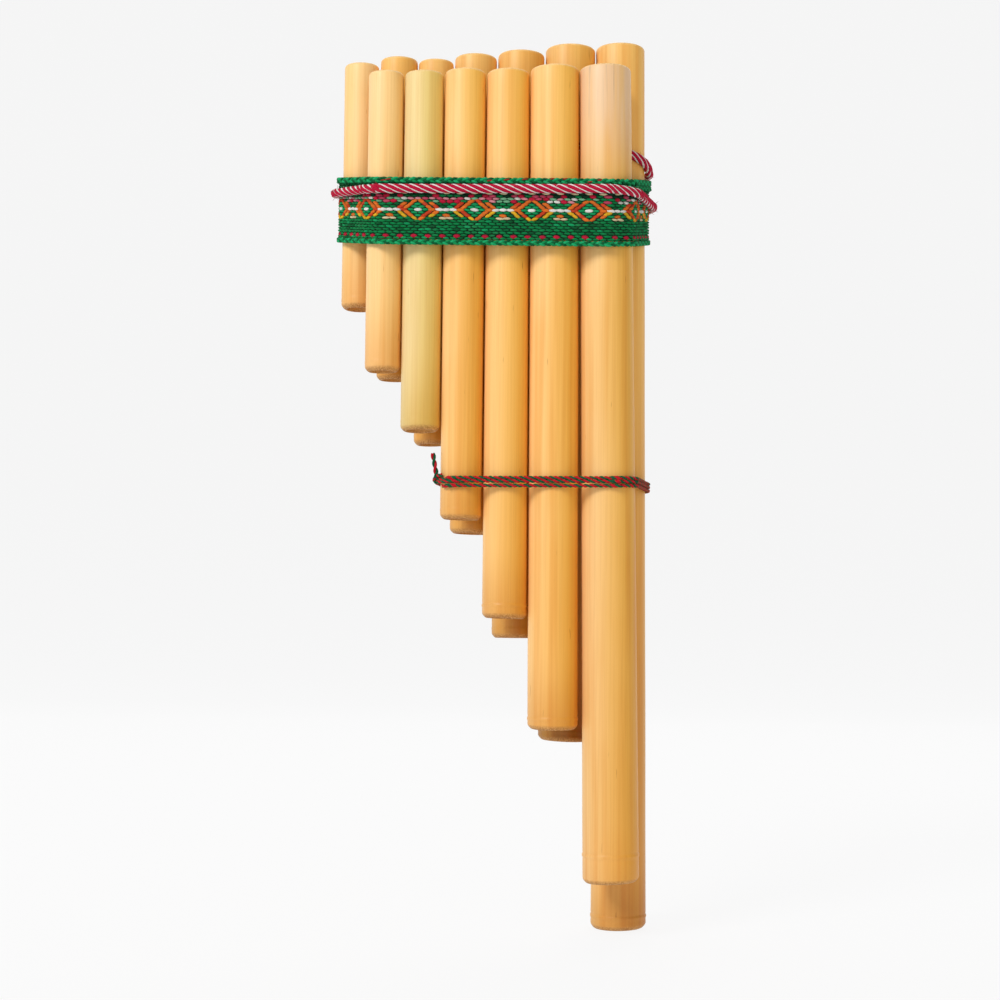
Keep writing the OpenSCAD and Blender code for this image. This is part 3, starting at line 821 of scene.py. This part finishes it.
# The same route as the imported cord's: out beside the longest pipe, along the back,
# once round everything, and back to a knot
def cordRoute():
    last = pipes["back_pipe_7"]
    seat, radius = tie["seat"], cord["radius"]
    overBand = cord["band"] + 2 * seat + radius - cord["press"]
    overEdge = cord["edging"] + 2 * seat + radius - cord["press"]
    lastX, lastY, lastR = disc(last, tie["bandZ"])
    firstX = disc(pipes["back_pipe_1"], tie["bandZ"])[0]
    frontY = wrapPoint(tiedDiscs, math.radians(270), seat + cord["band"]).y

    def frontRun(x, y):
        share = max(0, min(1, (x - firstX) / (lastX - firstX)))
        slope = cord["leftSlope"] + (cord["rightSlope"] - cord["leftSlope"]) * share
        return Vector((x, y, cord["frontZ"] + (y - frontY) * slope))

    def backY(x, off):
        line = sorted(tuple(wrapPoint(tiedDiscs, math.radians(a), off)) for a in range(40, 141))
        for (x1, y1), (x2, y2) in zip(line, line[1:]):
            if x1 <= x <= x2 and x2 > x1:
                return y1 + (y2 - y1) * (x - x1) / (x2 - x1)
        return line[0][1] if x < line[0][0] else line[-1][1]

    upper = cord["upperZ"]
    side = bandHeight(lastY) + cord["bandHalf"] + radius + 2 * seat
    route = [Vector((lastX - back * mm, -tie["middleY"], upper + up * mm))
             for back, up in ((16, 2.5), (8, 2), (1, 1))]
    reach = lastR + 2 * seat + radius - cord["press"]
    for a in (-70, -52.5, -35, -17.5, 0):
        t = math.radians(a)
        route.append(Vector((
            lastX + reach * math.cos(t), lastY + reach * math.sin(t),
            upper + (side - upper) * (a + 70) / 70)))
    for a in (25, 50, 70, 90):
        point = wrapPoint(tiedDiscs, math.radians(a), overBand if a < 40 else overEdge)
        route.append(Vector((*point, side)))
    start = route[-1].copy()
    landing = frontRun(*wrapPoint(tiedDiscs, math.radians(110), overBand))

    def lap(x):
        z = landing.z + (start.z - landing.z) * (x - firstX) / (start.x - firstX)
        edge = bandHeight(backY(x, overBand)) + cord["bandHalf"] - cord["edging"]
        return Vector((x, backY(x, overEdge if z + cord["knot"] / 2 > edge else overBand), z))

    for share in (0.14, 0.22, 0.3, 0.45, 0.6, 0.75, 0.9, 1):
        route.append(lap(start.x + (firstX - start.x) * share))
    for a in range(112, 441, 2):
        route.append(frontRun(*wrapPoint(tiedDiscs, math.radians(a), overBand)))
    begin = route[-1].copy()
    knot = lap(lastX - cord["knotReach"])
    endX, endZ = knot.x + 0.475 * cord["knot"], knot.z - 0.4 * cord["knot"] - seat
    for share in (0.2, 0.4, 0.6, 0.8, 1):
        x = begin.x + (endX - begin.x) * share
        route.append(Vector((x, backY(x, overBand), begin.z + (endZ - begin.z) * share ** 3)))
    # It ends inside the hitch
    route.append(Vector((knot.x + 2 * mm, knot.y, knot.z - 2.2 * mm)))
    route.append(Vector((knot.x, knot.y + 0.2 * mm, knot.z - 1.2 * mm)))
    return route, knot


# Evenly spaced points on a smooth line through a route, with directions
def resample(route, step, rounds=0):
    smooth = []
    padded = [route[0] * 2 - route[1]] + list(route) + [route[-1] * 2 - route[-2]]
    for a, b, c, d in zip(padded, padded[1:], padded[2:], padded[3:]):
        for k in range(6):
            t = k / 6
            smooth.append(0.5 * (
                2 * b + (c - a) * t + (2 * a - 5 * b + 4 * c - d) * t * t
                + (3 * b - a - 3 * c + d) * t * t * t))
    smooth.append(route[-1])
    points, left = [smooth[0]], step
    for a, b in zip(smooth, smooth[1:]):
        span = (b - a).length
        while span >= left:
            a = a + (b - a) * (left / span)
            points.append(a)
            span, left = (b - a).length, step
        left -= span
    # The stiffness of the cord rounds off its corners
    for _ in range(rounds):
        points = [points[0]] + [
            (a + b * 2 + c) / 4 for a, b, c in zip(points, points[1:], points[2:])] + [points[-1]]
    return points


# Yarns laid round a route as a helix; each is an angle, a spread, a radius and a kind.
# A yarn of kind 1 can dip under the others twice in each turn
def layUp(points, step, lay, yarns, wobble, seed, dip=0.0):
    strands = [([], radius, kind) for angle, spread, radius, kind in yarns]
    for k, point in enumerate(points):
        ahead = points[min(k + 1, len(points) - 1)] - points[max(k - 1, 0)]
        side = ahead.cross(Vector((0, 0, 1))).normalized()
        up = side.cross(ahead).normalized()
        for (angle, spread, radius, kind), (line, _, _) in zip(yarns, strands):
            turn = math.tau * (k * step / lay + angle)
            stir = 1 + wobble * noise.noise(Vector((k * step * 300, angle * 9, seed)))
            if kind:
                stir -= dip * (0.5 + 0.5 * math.cos(2 * turn + 2.6))
            line.append(point + (up * math.cos(turn) + side * math.sin(turn)) * spread * stir)
    return strands


# Loose hairs stand off the cord, most of them where it bends round the two corners
def cordFuzz(points):
    chances = random.Random(23)
    hairs = []
    left, right = min(p.x for p in points), max(p.x for p in points)
    for _ in range(cord["hairs"]):
        k = chances.randrange(2, len(points) - 2)
        start = points[k]
        near = min(start.x - left, right - start.x)
        if chances.random() > math.exp(-near / cord["hairCorner"]) + 0.12:
            continue
        out = Vector([chances.gauss(0, 1) for _ in range(3)]).normalized()
        along = (points[k + 1] - start).normalized()
        out = (out - along * out.dot(along) * 0.5).normalized()
        bend = Vector([chances.gauss(0, 0.35) for _ in range(3)])
        reach = chances.uniform(0.5, 1.5) * mm
        line = [start + out * 1.2 * mm + (out + bend * t) * reach * t for t in (0, 0.4, 0.75, 1)]
        hairs.append((line, list(cord["hairRadius"]), 0 if chances.random() < 0.8 else 1))
    return hairs


def makeCord():
    route, knotAt = cordRoute()
    step = 0.75 * mm
    points = resample(route, step, cord["rounds"])
    red = woolFinish("crimsonWool", tone(206, 20, 62), (900, 1, 1))
    white = woolFinish("whiteWool", tone(255, 250, 246), (900, 1, 1))
    yarns = [(k / 4, cord["plySpread"], cord["ply"], 0) for k in range(4)]
    yarns += [(k / 4 + 0.125, cord["whiteSpread"], cord["white"], 1) for k in range(4)]
    raised = [p + Vector((0, 0, cord["rise"])) for p in points]
    strands = layUp(raised, step, cord["lay"], yarns, 0.06, 1, cord["dip"])
    strands.append((raised[::2], 0.7 * mm, 0))
    strands += cordFuzz(raised)
    makeStrands("twistedCord", strands, [red, white], ["wrap_cord"])
    # The knot is a short hitch of the same yarns round the first turn
    hitch = []
    for k in range(61):
        t = math.tau * cord["hitchTurns"] * k / 60
        hitch.append(knotAt + Vector((
            (k / 60 - 0.5) * cord["hitchWidth"], math.sin(t) * 2.45 * mm + 0.8 * mm,
            math.cos(t) * cord["hitchHalf"])))
    hitchPoints = resample(hitch, step)
    thin = [(angle, spread * 0.85, radius * 0.85, kind) for angle, spread, radius, kind in yarns]
    strands = layUp(hitchPoints, step, cord["lay"], thin, 0.05, 4)
    strands.append((hitchPoints, 0.7 * mm, 0))
    makeStrands("cordKnot", strands, [red, white], ["cord_knot"])
    return len(points) * step


cordLength = makeCord()
print("cord made,", round(cordLength / mm, 1), "mm long")

# Yarn binding round the long pipes

yarn = {
    "radius": 0.65 * mm, "z": 143 * mm, "turns": 3, "start": 220, "lay": 3.2 * mm,
    "ply": 0.35 * mm, "spread": 0.3 * mm, "pitch": 1.15 * mm,
    "knotIn": 1.3 * mm,  # the knot and its tail sit this much closer to the pipe
}


def makeBinding():
    longPipes = [f"front_pipe_{k}" for k in (3, 4, 5, 6)] + [f"back_pipe_{k}" for k in (4, 5, 6, 7)]
    discs = [disc(pipes[n], yarn["z"]) for n in longPipes]
    route = []
    start, end = yarn["start"], yarn["start"] + 360 * yarn["turns"]
    for a in range(start, end + 1, 4):
        x, y = wrapPoint(discs, math.radians(a), 2 * tie["seat"] + yarn["radius"])
        share = (a - start) / 360
        rise = yarn["pitch"] * share
        # The turns bunch and cross a little instead of lying side by side
        stray = 0.6 * mm * noise.noise(Vector((a * 0.006, 3.0, 0)))
        route.append(Vector((x, y, yarn["z"] + rise + stray)))
    step = 0.4 * mm
    points = resample(route, step)
    red = woolFinish("redYarn", tone(222, 24, 44), (1500, 1, 1))
    green = woolFinish("darkGreenYarn", tone(20, 104, 66), (1500, 1, 1))
    plies = [(0, yarn["spread"], yarn["ply"], 0), (0.5, yarn["spread"], yarn["ply"], 1)]
    makeStrands(
        "yarnTurns", layUp(points, step, yarn["lay"], plies, 0.2, 2), [red, green],
        ["yarn_binding"])
    low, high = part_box("yarn_knot")
    inwards = Vector((yarn["knotIn"], 0, 0))
    centre = (Vector(low) + Vector(high)) / 2 + inwards
    loop = []
    for k in range(41):
        t = math.tau * 1.6 * k / 40
        loop.append(centre + Vector((math.cos(t) * 0.6, (k / 40 - 0.5) * 0.9, math.sin(t) * 0.75)) * mm)
    knotPoints = resample(loop, step / 2)
    makeStrands(
        "yarnKnot", layUp(knotPoints, step / 2, yarn["lay"], plies, 0.2, 5), [red, green],
        ["yarn_knot"])
    low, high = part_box("yarn_tail")
    low, high = Vector(low), Vector(high)
    tail = [
        Vector((high.x - 0.65 * mm, (low.y + high.y) / 2, low.z + 0.65 * mm)),
        Vector(((low.x + high.x) / 2, (low.y + high.y) / 2, (low.z + high.z) / 2)),
        Vector((low.x + 0.65 * mm, (low.y + high.y) / 2, high.z - 0.65 * mm)),
    ]
    tail = [centre + Vector((0.1, 0, 0.5)) * mm] + [p + inwards for p in tail]
    tailPoints = resample(tail, step / 2)
    thick = [(angle, spread * 1.3, radius * 1.3, kind) for angle, spread, radius, kind in plies]
    makeStrands(
        "yarnTail", layUp(tailPoints, step / 2, yarn["lay"] * 1.5, thick, 0.2, 8), [red, green],
        ["yarn_tail"])


makeBinding()
print("yarn binding made")

# Floor and backdrop in one sweep, and soft light

studio = {
    "paper": 0.87, "paperBounce": 0.05,
    "worldStrength": 0.4,
    # Each light's place, size and power
    "key": ((-0.8, -1.0, 1.0), 0.6, 14),
    "fill": ((0.6, -1.2, 0.3), 1.0, 1.5),
    "back": ((0.2, 0.9, 1.0), 0.8, 3),
}


def makeSweep():
    bm = bmesh.new()
    line = [bm.verts.new((-4, y, z)) for y, z in
            [(-4, 0), (1.2, 0)]
            + [(1.2 + 0.8 * math.sin(a), 0.8 - 0.8 * math.cos(a)) for a in
               [math.radians(9 * k) for k in range(1, 11)]] + [(2.0, 4)]]
    edges = [bm.edges.new(pair) for pair in zip(line, line[1:])]
    grown = bmesh.ops.extrude_edge_only(bm, edges=edges)
    moved = [v for v in grown["geom"] if isinstance(v, bmesh.types.BMVert)]
    bmesh.ops.translate(bm, verts=moved, vec=(8, 0, 0))
    mesh = smoothMesh("sweep", bm)
    finish = Finish("sweepPaper", Roughness=1.0)
    finish.feed("Base Color", (studio["paperBounce"],) * 3 + (1,))
    finish.feed("Emission Color", (1, 1, 1, 1))
    finish.feed("Emission Strength", studio["paper"])
    sweep = bpy.data.objects.new("sweep", mesh)
    mesh.materials.append(finish.material)
    scene.collection.objects.link(sweep)


def softLight(name, place, size, power):
    data = bpy.data.lights.new(name, "AREA")
    data.shape = "DISK"
    data.size = size
    data.energy = power
    lamp = bpy.data.objects.new(name, data)
    aim = Vector((0, 0, 0.15)) - Vector(place)
    lamp.matrix_world = Matrix.Translation(place) @ aim.to_track_quat("-Z", "Y").to_matrix().to_4x4()
    scene.collection.objects.link(lamp)


makeSweep()
for part in ("key", "fill", "back"):
    softLight(part, *studio[part])
world = bpy.data.worlds.new("studio")
world.use_nodes = True
world.node_tree.nodes["Background"].inputs["Color"].default_value = (1, 1, 1, 1)
world.node_tree.nodes["Background"].inputs["Strength"].default_value = studio["worldStrength"]
scene.world = world
scene.view_settings.view_transform = "Standard"
print("studio made")
